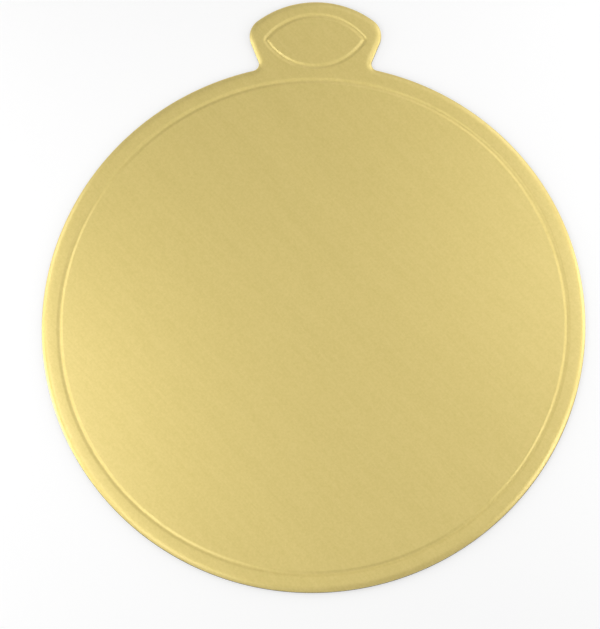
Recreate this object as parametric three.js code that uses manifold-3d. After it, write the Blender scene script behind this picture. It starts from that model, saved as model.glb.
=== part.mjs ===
// Individual cake board: a thin round board of film-faced paperboard with a pull tab, die-cut
// and embossed in one piece. A pressed line runs round the disc, and a leaf outline is pressed
// into the tab. Millimetres, +Z up, the disc's centre on the underside is the origin, and the
// tab points along +Y.
import * as THREE from "three";
import { mergeVertices } from "three/addons/utils/BufferGeometryUtils.js";
import Module from "manifold-3d";

const wasm = await Module();
wasm.setup();

// Driving dimensions of the board
const DISC_RADIUS = 45;
const BOARD_THICKNESS = 1.0;
const BACK_EDGE_BREAK = 0.08; // worn corner between the cut edge and the underside

// The face falls towards the cut edge: a slight crown, then the corner rolled by the die
const CROWN_WIDTH = 1.7;
const CROWN_DROP = 0.09;
const ROLL_WIDTH = 1.0;
const ROLL_DROP = 0.31;

// The tab: flared straight sides, rounded corners and a wide round top
const TAB_REACH = 10.65; // from the disc's edge to the tab's top
const TAB_NECK_WIDTH = 18.6; // between the sides, level with the disc's edge
const TAB_FLARE = THREE.MathUtils.degToRad(22);
const TAB_TOP_RADIUS = 16;
const TAB_CORNER_RADIUS = 3.3;
const NECK_FILLET_RADIUS = 1.2;

// Pressed lines
const GROOVE_DEPTH = 0.14;
const GROOVE_HALF_WIDTH = 0.62;
const RING_INSET = 2.97; // from the disc's edge to the middle of the ring line
const LEAF_LENGTH = 16.6; // from tip to tip
const LEAF_UPPER_RISE = 4.1; // from its tips to the top of its upper line
const LEAF_TOP_INSET = 2.42; // from the tab's top to the leaf's upper line
const LEAF_RING_GAP = 2.4; // from the ring line to the leaf's lower line

// How finely the curves are divided
const QUARTER_STEPS = 30; // on a quarter of the disc's edge and of the ring line
const LEAF_STEPS = 34; // on each of its two arcs
const NECK_STEPS = 6;
const CORNER_STEPS = 10;
const TAB_TOP_STEPS = 20;
const ROLL_STEPS = 4;
const CROWN_STEPS = 2;
const GROOVE_STEPS = 8;
const CUTTER_HEADROOM = 0.5; // how far a groove's cutter stands above the face

const RING_RADIUS = DISC_RADIUS - RING_INSET;

const FILM_GOLD = 0xd6c47c;
const FILM_ROUGHNESS = 0.42;
const FILM_METALNESS = 0.75;

// Points on an arc, from one angle to another, both ends included.
function arc(centre, radius, from, to, steps) {
  return Array.from({ length: steps + 1 }, (_, i) => {
    const angle = THREE.MathUtils.lerp(from, to, i / steps);
    return new THREE.Vector2(
      centre.x + radius * Math.cos(angle),
      centre.y + radius * Math.sin(angle),
    );
  });
}

// The point on a line, furthest along its direction, that lies a given distance from a centre.
function meetCircle(point, direction, centre, distance) {
  const offset = point.clone().sub(centre);
  const along = offset.dot(direction);
  const root = along * along - (offset.lengthSq() - distance * distance);
  return point.clone().addScaledVector(direction, -along + Math.sqrt(root));
}

// Centres and end angles of the right half of the tab's outline.
function tabLayout() {
  const start = new THREE.Vector2(TAB_NECK_WIDTH / 2, DISC_RADIUS);
  const along = new THREE.Vector2(Math.sin(TAB_FLARE), Math.cos(TAB_FLARE));
  const inward = new THREE.Vector2(-along.y, along.x);
  const top = new THREE.Vector2(0, DISC_RADIUS + TAB_REACH - TAB_TOP_RADIUS);
  const corner = meetCircle(
    start.clone().addScaledVector(inward, TAB_CORNER_RADIUS),
    along,
    top,
    TAB_TOP_RADIUS - TAB_CORNER_RADIUS,
  );
  const neck = meetCircle(
    start.clone().addScaledVector(inward, -NECK_FILLET_RADIUS),
    along,
    new THREE.Vector2(0, 0),
    DISC_RADIUS + NECK_FILLET_RADIUS,
  );
  return { inward, top, corner, neck };
}

// The board's outline, moved inwards by inset, counter-clockwise from the tab's top. Every
// inset gives the same number of points, so that outlines at different heights can be joined.
function outline(inset) {
  const { inward, top, corner, neck } = tabLayout();
  const cornerTop = corner.clone().sub(top).angle();
  const outward = inward.clone().negate().angle();
  const neckOnDisc = neck.angle();
  const middle = new THREE.Vector2(0, 0);
  const right = [
    ...arc(middle, DISC_RADIUS - inset, -Math.PI / 2, 0, QUARTER_STEPS),
    ...arc(middle, DISC_RADIUS - inset, 0, neckOnDisc, QUARTER_STEPS).slice(1),
    ...arc(
      neck,
      NECK_FILLET_RADIUS + inset,
      neckOnDisc + Math.PI,
      inward.angle(),
      NECK_STEPS,
    ).slice(1),
    ...arc(corner, TAB_CORNER_RADIUS - inset, outward - 2 * Math.PI, cornerTop, CORNER_STEPS),
    ...arc(top, TAB_TOP_RADIUS - inset, cornerTop, Math.PI / 2, TAB_TOP_STEPS / 2).slice(1),
  ];
  const left = right
    .slice(1, -1)
    .reverse()
    .map((p) => new THREE.Vector2(-p.x, p.y));
  return [...right, ...left];
}

// How far the face lies below the flat middle, at a distance from the cut edge.
function edgeDrop(inset) {
  const crown = Math.max(0, 1 - inset / CROWN_WIDTH);
  const roll = Math.max(0, 1 - inset / ROLL_WIDTH);
  return CROWN_DROP * crown * crown + ROLL_DROP * roll * roll;
}

// Insets of the face's contours, from the cut edge to the flat middle.
function faceInsets() {
  const roll = Array.from({ length: ROLL_STEPS + 1 }, (_, i) => ROLL_WIDTH * (i / ROLL_STEPS));
  const crown = Array.from({ length: CROWN_STEPS }, (_, i) =>
    THREE.MathUtils.lerp(ROLL_WIDTH, CROWN_WIDTH, (i + 1) / CROWN_STEPS),
  );
  return [...roll, ...crown];
}

// Triangles between contours of equal length, each joined to the next.
function joinContours(count, length, closed) {
  const faces = [];
  const last = closed ? count : count - 1;
  for (let c = 0; c < last; c += 1) {
    const here = c * length;
    const there = ((c + 1) % count) * length;
    for (let i = 0; i < length; i += 1) {
      const next = (i + 1) % length;
      faces.push(here + i, here + next, there + next);
      faces.push(here + i, there + next, there + i);
    }
  }
  return faces;
}

function geometryOf(positions, faces) {
  const geometry = new THREE.BufferGeometry();
  geometry.setAttribute("position", new THREE.Float32BufferAttribute(positions, 3));
  geometry.setIndex(faces);
  return geometry;
}

// The die-cut board before embossing: outlines stacked from the underside to the flat face.
function blankGeometry() {
  const levels = [
    { inset: BACK_EDGE_BREAK, z: 0 },
    { inset: 0, z: BACK_EDGE_BREAK },
    ...faceInsets().map((inset) => ({ inset, z: BOARD_THICKNESS - edgeDrop(inset) })),
  ];
  const contours = levels.map(({ inset }) => outline(inset));
  const length = contours[0].length;
  const positions = contours.flatMap((points, i) =>
    points.flatMap((p) => [p.x, p.y, levels[i].z]),
  );
  const faces = joinContours(levels.length, length, false);
  const under = THREE.ShapeUtils.triangulateShape(contours[0], []);
  under.forEach(([a, b, c]) => faces.push(a, c, b));
  const top = THREE.ShapeUtils.triangulateShape(contours.at(-1), []);
  const first = (levels.length - 1) * length;
  top.forEach(([a, b, c]) => faces.push(first + a, first + b, first + c));
  return geometryOf(positions, faces);
}

// A groove's depth, at a distance from its middle.
function grooveDepth(distance) {
  const share = distance / GROOVE_HALF_WIDTH;
  return GROOVE_DEPTH * (1 - share * share) ** 3;
}

// The solid that presses a groove: its section carried round a closed line. lineAt gives that
// line moved outwards by an offset.
function grooveCutter(lineAt) {
  const floor = Array.from({ length: GROOVE_STEPS + 1 }, (_, i) => {
    const offset = THREE.MathUtils.lerp(-GROOVE_HALF_WIDTH, GROOVE_HALF_WIDTH, i / GROOVE_STEPS);
    return { offset, z: BOARD_THICKNESS - grooveDepth(offset) };
  });
  const above = BOARD_THICKNESS + CUTTER_HEADROOM;
  const section = [
    ...floor,
    { offset: GROOVE_HALF_WIDTH, z: above },
    { offset: -GROOVE_HALF_WIDTH, z: above },
  ];
  const contours = section.map(({ offset }) => lineAt(offset));
  const positions = contours.flatMap((points, i) =>
    points.flatMap((p) => [p.x, p.y, section[i].z]),
  );
  return geometryOf(positions, joinContours(section.length, contours[0].length, true));
}

// The ring line: a circle round the disc.
function ringLine(offset) {
  const middle = new THREE.Vector2(0, 0);
  return arc(middle, RING_RADIUS + offset, 0, 2 * Math.PI, 4 * QUARTER_STEPS).slice(0, -1);
}

// The leaf line: two arcs that meet in sharp tips, moved outwards by an offset.
function leafLine(offset) {
  const half = LEAF_LENGTH / 2;
  const topY = DISC_RADIUS + TAB_REACH - LEAF_TOP_INSET;
  const bottomY = RING_RADIUS + LEAF_RING_GAP;
  const lowerRise = topY - bottomY - LEAF_UPPER_RISE;
  const upperRadius = (half * half + LEAF_UPPER_RISE ** 2) / (2 * LEAF_UPPER_RISE);
  const lowerRadius = (half * half + lowerRise ** 2) / (2 * lowerRise);
  const upper = { centre: new THREE.Vector2(0, topY - upperRadius), radius: upperRadius + offset };
  const lower = { centre: new THREE.Vector2(0, bottomY + lowerRadius), radius: lowerRadius + offset };
  const apart = lower.centre.y - upper.centre.y;
  const tipUp = (apart * apart + upper.radius ** 2 - lower.radius ** 2) / (2 * apart);
  const upperTip = Math.asin(tipUp / upper.radius);
  const lowerTip = Math.asin((apart - tipUp) / lower.radius);
  return [
    { ...upper, from: upperTip, to: Math.PI - upperTip },
    { ...lower, from: Math.PI + lowerTip, to: 2 * Math.PI - lowerTip },
  ].flatMap(({ centre, radius, from, to }) =>
    arc(centre, radius, from, to, LEAF_STEPS).slice(0, -1),
  );
}

// A closed mesh as a solid that can be cut.
function solidOf(geometry) {
  const merged = mergeVertices(geometry, 1e-5);
  return new wasm.Manifold(
    new wasm.Mesh({
      numProp: 3,
      vertProperties: new Float32Array(merged.attributes.position.array),
      triVerts: new Uint32Array(merged.index.array),
    }),
  );
}

function boardGeometry() {
  const pressed = solidOf(blankGeometry())
    .subtract(solidOf(grooveCutter(ringLine)))
    .subtract(solidOf(grooveCutter(leafLine)));
  const { vertProperties, triVerts } = pressed.getMesh();
  const geometry = geometryOf(vertProperties, Array.from(triVerts));
  geometry.computeVertexNormals();
  return geometry;
}

function cakeBoard() {
  const film = new THREE.MeshStandardMaterial({
    color: FILM_GOLD,
    roughness: FILM_ROUGHNESS,
    metalness: FILM_METALNESS,
  });
  const board = new THREE.Mesh(boardGeometry(), film);
  board.name = "board";
  const group = new THREE.Group();
  group.add(board);
  return group;
}

export default cakeBoard();
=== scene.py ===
import math

import bmesh
import bpy
import numpy as np
from mathutils import Matrix, Vector
from mathutils.geometry import delaunay_2d_cdt


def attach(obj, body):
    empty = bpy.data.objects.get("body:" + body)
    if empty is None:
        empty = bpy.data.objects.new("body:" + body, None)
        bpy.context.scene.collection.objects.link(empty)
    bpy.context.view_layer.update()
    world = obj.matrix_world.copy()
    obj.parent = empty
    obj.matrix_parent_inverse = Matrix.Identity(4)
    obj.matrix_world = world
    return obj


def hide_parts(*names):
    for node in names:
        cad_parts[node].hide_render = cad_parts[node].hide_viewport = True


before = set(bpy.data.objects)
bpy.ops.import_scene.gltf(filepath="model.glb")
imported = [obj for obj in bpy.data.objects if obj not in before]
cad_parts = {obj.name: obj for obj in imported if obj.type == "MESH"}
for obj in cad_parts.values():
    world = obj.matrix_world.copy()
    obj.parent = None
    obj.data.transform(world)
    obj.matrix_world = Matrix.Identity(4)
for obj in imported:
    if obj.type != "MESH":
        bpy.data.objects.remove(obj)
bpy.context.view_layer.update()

# Shape of the board, in millimetres, as in the solid that it stands for
DISC_RADIUS = 45.0
BOARD_THICKNESS = 1.0
BACK_EDGE_BREAK = 0.08
CROWN_WIDTH = 1.7
CROWN_DROP = 0.09
ROLL_WIDTH = 1.0
ROLL_DROP = 0.31
TAB_REACH = 10.65
TAB_NECK_WIDTH = 18.6
TAB_FLARE = math.radians(22)
TAB_TOP_RADIUS = 16.0
TAB_CORNER_RADIUS = 3.3
NECK_FILLET_RADIUS = 1.2
GROOVE_DEPTH = 0.14
GROOVE_HALF_WIDTH = 0.62
RING_INSET = 2.97
LEAF_LENGTH = 16.6
LEAF_UPPER_RISE = 4.1
LEAF_TOP_INSET = 2.42
LEAF_RING_GAP = 2.4
LEAF_TIP_RADIUS = 0.45
RING_RADIUS = DISC_RADIUS - RING_INSET
FILM_OVERLAP = 0.06  # how far the film runs down the cut side below the rolled corner

# How finely it is divided
QUARTER_STEPS = 110
NECK_STEPS = 12
CORNER_STEPS = 20
TAB_TOP_STEPS = 30
NECK_GAP_STEPS = 40
BREAK_STEPS = 3
SIDE_STEPS = 3
ROLL_STEPS = 10
CROWN_STEPS = 6
GROOVE_STEPS = 22
LEAF_STEPS = 70
LEAF_TIP_STEPS = 8
FLAT_SPACING = 3.5
UNDER_SPACING = 6.0
FLAT_CLEARANCE = 0.45  # of the spacing, between its inner points and its edges
FLAT_MERGE = 1e-7

FILM, CUT_EDGE, LINER = range(3)  # the board's material slots
MM = 0.001
WELD_DISTANCE = 1e-7  # in metres, between points that are one
SHORTEST_EDGE = 1e-8


def arc(centre, radius, start, end, steps):
    """Points on an arc, both ends included."""
    angles = np.linspace(start, end, steps + 1)
    x = centre[0] + radius * np.cos(angles)
    y = centre[1] + radius * np.sin(angles)
    return np.column_stack((x, y))


def meet_circle(point, direction, centre, distance):
    """The point on a line, furthest along its direction, at a distance from a centre."""
    offset = point - centre
    along = offset @ direction
    root = along * along - (offset @ offset - distance * distance)
    return point + direction * (math.sqrt(root) - along)


def tab_layout():
    """Centres of the right half of the tab's arcs, and the way in from its side."""
    start = np.array([TAB_NECK_WIDTH / 2, DISC_RADIUS])
    along = np.array([math.sin(TAB_FLARE), math.cos(TAB_FLARE)])
    inward = np.array([-along[1], along[0]])
    top = np.array([0.0, DISC_RADIUS + TAB_REACH - TAB_TOP_RADIUS])
    corner = meet_circle(
        start + TAB_CORNER_RADIUS * inward, along, top, TAB_TOP_RADIUS - TAB_CORNER_RADIUS
    )
    neck = meet_circle(
        start - NECK_FILLET_RADIUS * inward, along, np.zeros(2), DISC_RADIUS + NECK_FILLET_RADIUS
    )
    return inward, top, corner, neck


def angle_of(vector):
    return math.atan2(vector[1], vector[0])


def neck_angle():
    """Where the disc's edge ends and the right neck fillet starts."""
    return angle_of(tab_layout()[3])


def disc_angles():
    """Angles of the disc's points, from the bottom to the right neck."""
    lower = np.linspace(-math.pi / 2, 0, QUARTER_STEPS + 1)
    upper = np.linspace(0, neck_angle(), QUARTER_STEPS + 1)
    return np.concatenate((lower, upper[1:]))


def mirrored(right):
    """A closed loop from its right half, which runs from the bottom to the top."""
    left = right[1:-1][::-1] * np.array([-1.0, 1.0])
    return np.concatenate((right, left))


def outline(inset):
    """The board's outline, moved inwards, counter-clockwise from the bottom."""
    inward, top, corner, neck = tab_layout()
    corner_top = angle_of(corner - top)
    angles = disc_angles()
    disc = (DISC_RADIUS - inset) * np.column_stack((np.cos(angles), np.sin(angles)))
    fillet = arc(
        neck, NECK_FILLET_RADIUS + inset, neck_angle() + math.pi, angle_of(inward), NECK_STEPS
    )
    rounded = arc(corner, TAB_CORNER_RADIUS - inset, angle_of(-inward), corner_top, CORNER_STEPS)
    crest = arc(top, TAB_TOP_RADIUS - inset, corner_top, math.pi / 2, TAB_TOP_STEPS)
    return mirrored(np.concatenate((disc, fillet[1:], rounded, crest[1:])))


def ring(offset):
    """The ring line, moved outwards. It shares the disc's angles, and crosses the tab's neck."""
    gap = np.linspace(neck_angle(), math.pi / 2, NECK_GAP_STEPS + 1)
    angles = np.concatenate((disc_angles(), gap[1:]))
    radius = RING_RADIUS + offset
    return mirrored(radius * np.column_stack((np.cos(angles), np.sin(angles))))


def leaf_arcs():
    """Centre height and radius of the leaf's upper and lower lines."""
    half = LEAF_LENGTH / 2
    top_y = DISC_RADIUS + TAB_REACH - LEAF_TOP_INSET
    bottom_y = RING_RADIUS + LEAF_RING_GAP
    lower_rise = top_y - bottom_y - LEAF_UPPER_RISE
    upper = (half * half + LEAF_UPPER_RISE**2) / (2 * LEAF_UPPER_RISE)
    lower = (half * half + lower_rise**2) / (2 * lower_rise)
    return top_y - upper, upper, bottom_y + lower, lower


def circles_meet(low_y, low_radius, high_y, high_radius):
    """The right meeting point of two circles whose centres lie on the middle line."""
    apart = high_y - low_y
    up = (apart * apart + low_radius**2 - high_radius**2) / (2 * apart)
    return np.array([math.sqrt(low_radius**2 - up * up), low_y + up])


def leaf(offset):
    """The leaf line, moved outwards: two arcs with tips that are rounded outside."""
    upper_y, upper, lower_y, lower = leaf_arcs()
    tip = circles_meet(upper_y, upper - LEAF_TIP_RADIUS, lower_y, lower - LEAF_TIP_RADIUS)
    tip_radius = max(LEAF_TIP_RADIUS + offset, 0.0)
    if LEAF_TIP_RADIUS + offset < 0:
        tip = circles_meet(upper_y, upper + offset, lower_y, lower + offset)
    to_upper = angle_of(tip - np.array([0, upper_y]))
    to_lower = angle_of(tip - np.array([0, lower_y]))
    bottom = arc((0, lower_y), lower + offset, -math.pi / 2, to_lower, LEAF_STEPS)
    point = arc(tip, tip_radius, to_lower, to_upper, LEAF_TIP_STEPS)
    top = arc((0, upper_y), upper + offset, to_upper, math.pi / 2, LEAF_STEPS)
    return mirrored(np.concatenate((bottom, point[1:], top[1:])))


def edge_drop(inset):
    """How far the face lies below its flat middle, at a distance from the cut edge."""
    crown = max(0.0, 1 - inset / CROWN_WIDTH)
    roll = max(0.0, 1 - inset / ROLL_WIDTH)
    return CROWN_DROP * crown * crown + ROLL_DROP * roll * roll


def groove_depth(offset):
    """How deep a pressed line is, at a distance from its middle."""
    share = min(1.0, abs(offset) / GROOVE_HALF_WIDTH)
    return GROOVE_DEPTH * (1 - share * share) ** 3


class Shell:
    """The board's surface as it is made, in millimetres."""

    def __init__(self):
        self.points = []
        self.faces = []
        self.slots = []

    def loop(self, xy, z):
        """Adds points at one height, and gives their numbers."""
        first = len(self.points)
        self.points.extend((x, y, z) for x, y in xy)
        return list(range(first, first + len(xy)))

    def bridge(self, outer, inner, slot):
        """Joins two loops that have as many points. The outer or lower one comes first."""
        for i in range(len(outer)):
            j = (i + 1) % len(outer)
            self.faces.append((outer[i], outer[j], inner[j], inner[i]))
            self.slots.append(slot)

    def loops(self, shape, levels, slot):
        """Joins a shape's loops at each (offset, z)."""
        made = [self.loop(shape(offset), z) for offset, z in levels]
        for a, b in zip(made, made[1:]):
            self.bridge(a, b, slot)

    def flat(self, edge, holes, z, spacing, slot, up=True):
        """Fills a flat region with even triangles."""
        rings = [edge, *holes]
        inner = inside_points(edge, holes, spacing)
        points = [Vector(p) for p in np.concatenate((*rings, inner))]
        edges = []
        first = 0
        for r in rings:
            edges += [(first + i, first + (i + 1) % len(r)) for i in range(len(r))]
            first += len(r)
        made, _, triangles, *_ = delaunay_2d_cdt(points, edges, [], 0, FLAT_MERGE)
        xy = np.array([(p.x, p.y) for p in made])
        centres = np.array([xy[list(t)].mean(axis=0) for t in triangles])
        keep = inside(centres, edge)
        for hole in holes:
            keep &= ~inside(centres, hole)
        index = self.loop(xy, z)
        for triangle, kept in zip(triangles, keep):
            if kept:
                corners = [index[i] for i in triangle]
                self.faces.append(tuple(corners if up else reversed(corners)))
                self.slots.append(slot)


def inside(points, polygon):
    """True for each point inside the closed polygon."""
    x, y = points[:, :1], points[:, 1:]
    a, b = polygon, np.roll(polygon, -1, axis=0)
    spans = (a[:, 1] > y) != (b[:, 1] > y)
    rise = np.where(b[:, 1] == a[:, 1], 1.0, b[:, 1] - a[:, 1])
    crossing = a[:, 0] + (y - a[:, 1]) * (b[:, 0] - a[:, 0]) / rise
    return (spans & (x < crossing)).sum(axis=1) % 2 == 1


def inside_points(edge, holes, spacing):
    """A staggered grid of points inside the edge, clear of it and of the holes."""
    low, high = edge.min(axis=0), edge.max(axis=0)
    rows = np.arange(low[1], high[1], spacing * math.sqrt(3) / 2)
    columns = np.arange(low[0], high[0], spacing)
    grid = np.array(
        [(x + spacing / 2 * (i % 2), y) for i, y in enumerate(rows) for x in columns]
    )
    keep = inside(grid, edge)
    for r in (edge, *holes):
        near = np.linalg.norm(grid[:, None] - r[None, :], axis=2).min(axis=1)
        keep &= near > spacing * FLAT_CLEARANCE
    for hole in holes:
        keep &= ~inside(grid, hole)
    return grid[keep]


def film_start():
    """Height on the cut side at which the film starts."""
    return BOARD_THICKNESS - edge_drop(0) - FILM_OVERLAP


def side_levels():
    """(inset, z) of the cut side, from the underside to where the film starts."""
    turns = np.linspace(0, math.pi / 2, BREAK_STEPS + 1)
    broken = [
        (BACK_EDGE_BREAK * (1 - math.sin(t)), BACK_EDGE_BREAK * (1 - math.cos(t))) for t in turns
    ]
    heights = np.linspace(BACK_EDGE_BREAK, film_start(), SIDE_STEPS + 1)
    return broken + [(0.0, z) for z in heights[1:]]


def face_levels():
    """(inset, z) of the film, from the cut side to the flat face."""
    roll = np.linspace(0, ROLL_WIDTH, ROLL_STEPS + 1)
    crown = np.linspace(ROLL_WIDTH, CROWN_WIDTH, CROWN_STEPS + 1)
    insets = np.concatenate((roll, crown[1:]))
    return [(0.0, film_start())] + [(i, BOARD_THICKNESS - edge_drop(i)) for i in insets]


def groove_levels():
    """(offset, z) across a groove, from outside to inside."""
    offsets = np.linspace(GROOVE_HALF_WIDTH, -GROOVE_HALF_WIDTH, GROOVE_STEPS + 1)
    return [(o, BOARD_THICKNESS - groove_depth(o)) for o in offsets]


def board_shell():
    """The whole board: its side, face, pressed lines, flat fields and underside."""
    shell = Shell()
    shell.loops(outline, side_levels(), CUT_EDGE)
    shell.loops(outline, face_levels(), FILM)
    shell.loops(ring, groove_levels(), FILM)
    shell.loops(leaf, groove_levels(), FILM)
    shell.flat(ring(-GROOVE_HALF_WIDTH), [], BOARD_THICKNESS, FLAT_SPACING, FILM)
    shell.flat(leaf(-GROOVE_HALF_WIDTH), [], BOARD_THICKNESS, FLAT_SPACING, FILM)
    grooves = [ring(GROOVE_HALF_WIDTH), leaf(GROOVE_HALF_WIDTH)]
    shell.flat(outline(CROWN_WIDTH), grooves, BOARD_THICKNESS, FLAT_SPACING, FILM)
    shell.flat(outline(BACK_EDGE_BREAK), [], 0.0, UNDER_SPACING, LINER, up=False)
    return shell


def make_board():
    """The board's object, with the loops of its shell welded together."""
    shell = board_shell()
    mesh = bpy.data.meshes.new("cake_board")
    mesh.from_pydata([Vector(p) * MM for p in shell.points], [], shell.faces)
    mesh.polygons.foreach_set("material_index", shell.slots)
    welded = bmesh.new()
    welded.from_mesh(mesh)
    bmesh.ops.remove_doubles(welded, verts=welded.verts, dist=WELD_DISTANCE)
    bmesh.ops.dissolve_degenerate(welded, edges=welded.edges, dist=SHORTEST_EDGE)
    for face in welded.faces:
        face.smooth = True
    welded.to_mesh(mesh)
    welded.free()
    board = bpy.data.objects.new("cake_board", mesh)
    bpy.context.scene.collection.objects.link(board)
    return board


NOISE_LOW, NOISE_HIGH = 0.3, 0.7  # the range that most of a noise lies in
MIX_FACTOR, MIX_FIRST, MIX_SECOND, MIX_COLOUR = 0, 6, 7, 2  # sockets of a colour mix


class Nodes:
    """Short names for building a material's nodes."""

    def __init__(self, name):
        self.material = bpy.data.materials.new(name)
        self.material.use_nodes = True
        self.tree = self.material.node_tree
        self.shader = self.tree.nodes["Principled BSDF"]
        self.place = self.tree.nodes.new("ShaderNodeTexCoord").outputs["Object"]

    def add(self, kind, settings=None, **inputs):
        """A new node with its settings and its named inputs."""
        node = self.tree.nodes.new(kind)
        for key, value in (settings or {}).items():
            setattr(node, key, value)
        for key, value in inputs.items():
            self.set(node, key, value)
        return node

    def set(self, node, key, value):
        """Gives an input a value, or links another node's output to it."""
        socket = node.inputs[key]
        if isinstance(value, bpy.types.NodeSocket):
            self.tree.links.new(value, socket)
        else:
            socket.default_value = value

    def stretched(self, turn, scale):
        """Object place turned about Z, then scaled, for streaks along the turned X axis."""
        about_z = {"rotation_type": "Z_AXIS"}
        turned = self.add("ShaderNodeVectorRotate", about_z, Vector=self.place, Angle=turn)
        scaled = self.add("ShaderNodeVectorMath", {"operation": "MULTIPLY"})
        self.set(scaled, 0, turned.outputs["Vector"])
        self.set(scaled, 1, scale)
        return scaled.outputs["Vector"]

    def noise(self, vector, scale, detail=2.0, roughness=0.5):
        node = self.add("ShaderNodeTexNoise", Vector=vector, Scale=scale)
        self.set(node, "Detail", detail)
        self.set(node, "Roughness", roughness)
        return node.outputs["Fac"]

    def spread(self, value, low, high):
        """Maps the range that a noise mostly lies in to low and high."""
        node = self.add("ShaderNodeMapRange", Value=value)
        self.set(node, "From Min", NOISE_LOW)
        self.set(node, "From Max", NOISE_HIGH)
        self.set(node, "To Min", low)
        self.set(node, "To Max", high)
        return node.outputs["Result"]

    def between(self, factor, first, second):
        """A colour between two, by a factor."""
        node = self.add("ShaderNodeMix", {"data_type": "RGBA"})
        self.set(node, MIX_FACTOR, factor)
        self.set(node, MIX_FIRST, first)
        self.set(node, MIX_SECOND, second)
        return node.outputs[MIX_COLOUR]

    def calculate(self, operation, first, second):
        node = self.add("ShaderNodeMath", {"operation": operation})
        self.set(node, 0, first)
        self.set(node, 1, second)
        return node.outputs[0]

    def sum(self, first, second):
        return self.calculate("ADD", first, second)

    def bump(self, height, distance):
        return self.add("ShaderNodeBump", Height=height, Distance=distance).outputs["Normal"]


# The gold film. Noise scales are in cells per metre, along, across and through the streaks.
FILM_GOLD = (0.97, 0.78, 0.26, 1.0)
FILM_GOLD_DEEP = (0.87, 0.695, 0.195, 1.0)
STREAK_TURN = math.radians(-133)
STREAK_SCALE = (140.0, 2900.0, 400.0)
STREAK_SHARE = 0.28
BAND_SCALE = (18.0, 240.0, 60.0)
BAND_SHARE = 0.12
GRAIN_SCALE = 2600.0
GRAIN_SHARE = 0.60
FILM_ROUGHNESS = (0.480, 0.494)
FILM_RELIEF = 0.0000008  # metres
COAT_ROUGHNESS = 0.34
COAT_IOR = 1.8


def film_material():
    """Satin gold film: a tinted metal under a clear coat, with faint slanting roller streaks."""
    n = Nodes("gold_film")
    streaks = n.noise(n.stretched(STREAK_TURN, STREAK_SCALE), 1.0, detail=2.0)
    bands = n.noise(n.stretched(STREAK_TURN, BAND_SCALE), 1.0, detail=1.0)
    grain = n.noise(n.place, GRAIN_SCALE, detail=2.0, roughness=0.6)
    lines = n.sum(n.spread(streaks, 0.0, STREAK_SHARE), n.spread(bands, 0.0, BAND_SHARE))
    tone = n.sum(lines, n.spread(grain, 0.0, GRAIN_SHARE))
    n.set(n.shader, "Base Color", n.between(tone, FILM_GOLD_DEEP, FILM_GOLD))
    n.set(n.shader, "Metallic", 1.0)
    n.set(n.shader, "Roughness", n.spread(bands, *FILM_ROUGHNESS))
    n.set(n.shader, "Coat Weight", 1.0)
    n.set(n.shader, "Coat Roughness", COAT_ROUGHNESS)
    n.set(n.shader, "Coat IOR", COAT_IOR)
    n.set(n.shader, "Normal", n.bump(tone, FILM_RELIEF))
    return n.material


# The cut side
PULP = (0.25, 0.215, 0.12, 1.0)
PULP_DEEP = (0.13, 0.11, 0.055, 1.0)
PLY_SCALE = (300.0, 300.0, 9000.0)
PLY_SHARE = 0.6
PULP_FIBRE_SCALE = 2500.0
PULP_ROUGHNESS = 0.85
PULP_RELIEF = 0.00002


def cut_edge_material():
    """Die-cut paperboard: grey-brown pulp pressed in thin plies."""
    n = Nodes("cut_paperboard")
    plies = n.noise(n.stretched(0.0, PLY_SCALE), 1.0, detail=3.0)
    fibres = n.noise(n.place, PULP_FIBRE_SCALE, detail=4.0)
    mix = n.sum(n.spread(plies, 0.0, PLY_SHARE), n.spread(fibres, 0.0, 1 - PLY_SHARE))
    n.set(n.shader, "Base Color", n.between(mix, PULP_DEEP, PULP))
    n.set(n.shader, "Roughness", PULP_ROUGHNESS)
    n.set(n.shader, "Normal", n.bump(mix, PULP_RELIEF))
    return n.material


# The liner on the back
PAPER = (0.78, 0.755, 0.70, 1.0)
PAPER_DEEP = (0.70, 0.67, 0.61, 1.0)
MOTTLE_SCALE = 260.0
MOTTLE_SHARE = 0.5
PAPER_FIBRE_SCALE = (900.0, 3200.0, 900.0)
PAPER_ROUGHNESS = 0.8
PAPER_RELIEF = 0.000012


def liner_material():
    """The plain paper liner on the back, with faint fibre mottling."""
    n = Nodes("paper_liner")
    mottle = n.noise(n.place, MOTTLE_SCALE, detail=4.0, roughness=0.6)
    fibres = n.noise(n.stretched(0.0, PAPER_FIBRE_SCALE), 1.0, detail=4.0)
    mix = n.sum(n.spread(mottle, 0.0, MOTTLE_SHARE), n.spread(fibres, 0.0, 1 - MOTTLE_SHARE))
    n.set(n.shader, "Base Color", n.between(mix, PAPER_DEEP, PAPER))
    n.set(n.shader, "Roughness", PAPER_ROUGHNESS)
    n.set(n.shader, "Normal", n.bump(fibres, PAPER_RELIEF))
    return n.material


# The floor and the light on it
FLOOR_HALF = 1.5  # metres
FLOOR_DROP = 0.00002  # metres, below the underside
FLOOR_GREY = (0.5, 0.5, 0.5, 1.0)
FLOOR_LIFT = 0.55  # added to what the lamps give it, so that it reads as white
WHITE = (1.0, 1.0, 1.0, 1.0)


def floor_material():
    """Matt, so that it takes the board's shadow, and lifted to white where it is seen."""
    n = Nodes("floor_white")
    n.set(n.shader, "Base Color", FLOOR_GREY)
    n.set(n.shader, "Roughness", 1.0)
    n.set(n.shader, "Specular IOR Level", 0.0)
    rays = n.add("ShaderNodeLightPath").outputs
    seen = n.sum(rays["Is Camera Ray"], n.sum(rays["Is Glossy Ray"], rays["Is Transmission Ray"]))
    n.set(n.shader, "Emission Color", WHITE)
    n.set(n.shader, "Emission Strength", n.calculate("MULTIPLY", seen, FLOOR_LIFT))
    return n.material


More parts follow.
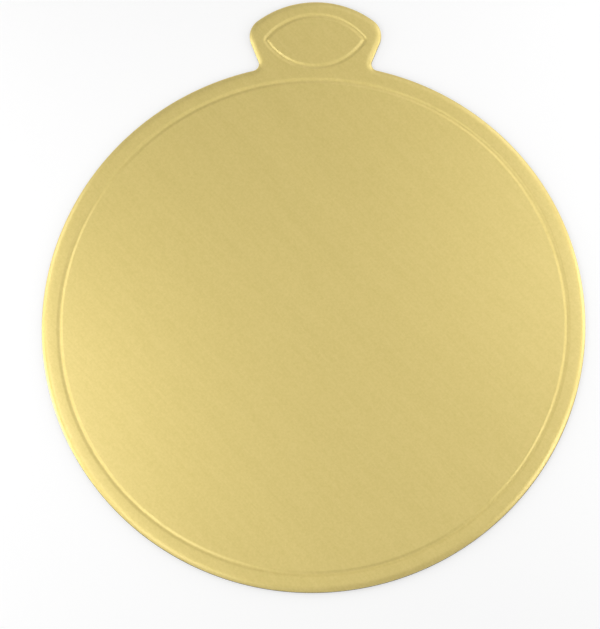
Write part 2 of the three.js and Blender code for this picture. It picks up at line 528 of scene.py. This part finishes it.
def make_floor():
    mesh = bpy.data.meshes.new("floor")
    h = FLOOR_HALF
    corners = [(-h, -h), (h, -h), (h, h), (-h, h)]
    mesh.from_pydata([(x, y, -FLOOR_DROP) for x, y in corners], [], [(0, 1, 2, 3)])
    mesh.materials.append(floor_material())
    floor = bpy.data.objects.new("floor", mesh)
    bpy.context.scene.collection.objects.link(floor)


# Soft boxes round the board: degrees round from +X, degrees up, millimetres from the disc's
# centre, and milliwatts
SOFT_BOXES = {
    "right_low": (15, 18, 130, 19),
    "right_high": (33, 56, 130, 10),
    "back_right_low": (50, 20, 130, 11),
    "back_low": (80, 32, 130, 4),
    "left_back_low": (155, 23, 130, 12),
    "left_high": (178, 56, 130, 17.5),
    "left_low": (187, 13, 186, 75),
    "front_left": (225, 43, 147, 17.5),
    "front": (256, 44, 268, 12),
    "front_right": (341, 30, 130, 17),
    "top": (0, 90, 450, 27),
}
BOX_SIZE = 0.4  # side of a soft box, as a share of its distance
MILLIWATT = 0.001
WORLD_LEVEL = 0.45


def make_soft_boxes():
    for name, (azimuth, elevation, distance, power) in SOFT_BOXES.items():
        a, e = math.radians(azimuth), math.radians(elevation)
        towards = Vector((math.cos(a) * math.cos(e), math.sin(a) * math.cos(e), math.sin(e)))
        lamp = bpy.data.lights.new(name, "AREA")
        lamp.shape = "SQUARE"
        lamp.size = BOX_SIZE * distance * MM
        lamp.energy = power * MILLIWATT
        light = bpy.data.objects.new(name, lamp)
        light.location = towards * distance * MM
        light.rotation_mode = "QUATERNION"
        light.rotation_quaternion = towards.to_track_quat("Z", "Y")
        light.visible_camera = False
        bpy.context.scene.collection.objects.link(light)


def make_world():
    world = bpy.data.worlds.new("studio")
    world.use_nodes = True
    background = world.node_tree.nodes["Background"]
    background.inputs["Color"].default_value = WHITE
    background.inputs["Strength"].default_value = WORLD_LEVEL
    bpy.context.scene.world = world


# The camera, in degrees and millimetres, and where the picture's middle lies from the disc's
VIEW_AZIMUTH = math.radians(7.54)
VIEW_ELEVATION = math.radians(76.19)
VIEW_ROLL = math.radians(-7.34)
VIEW_DISTANCE = 1500.0
VIEW_HEIGHT = 104.13
VIEW_SHIFT_RIGHT = -2.227
VIEW_SHIFT_UP = 2.081
SENSOR = 36.0
CLIP_START = 10.0
CLIP_END = 10000.0


def make_camera():
    """Looks at the board as the photograph does, from far off."""
    a, e, r = VIEW_AZIMUTH, VIEW_ELEVATION, VIEW_ROLL
    back = Vector((math.sin(a) * math.cos(e), -math.cos(a) * math.cos(e), math.sin(e)))
    level = Vector((math.cos(a), math.sin(a), 0.0))
    up = back.cross(level)
    right = math.cos(r) * level + math.sin(r) * up
    top = -math.sin(r) * level + math.cos(r) * up
    place = back * VIEW_DISTANCE + right * VIEW_SHIFT_RIGHT + top * VIEW_SHIFT_UP
    data = bpy.data.cameras.new("camera")
    data.sensor_width = SENSOR
    data.lens = SENSOR * VIEW_DISTANCE / VIEW_HEIGHT
    data.clip_start = CLIP_START * MM
    data.clip_end = CLIP_END * MM
    camera = bpy.data.objects.new("camera", data)
    turn = Matrix((right, top, back)).transposed().to_4x4()
    camera.matrix_world = Matrix.Translation(place * MM) @ turn
    bpy.context.scene.collection.objects.link(camera)
    bpy.context.scene.camera = camera


board = make_board()
for material in (film_material(), cut_edge_material(), liner_material()):
    board.data.materials.append(material)
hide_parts("board")
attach(board, "root")
make_floor()
make_soft_boxes()
make_world()
make_camera()
bpy.context.scene.view_settings.view_transform = "Standard"
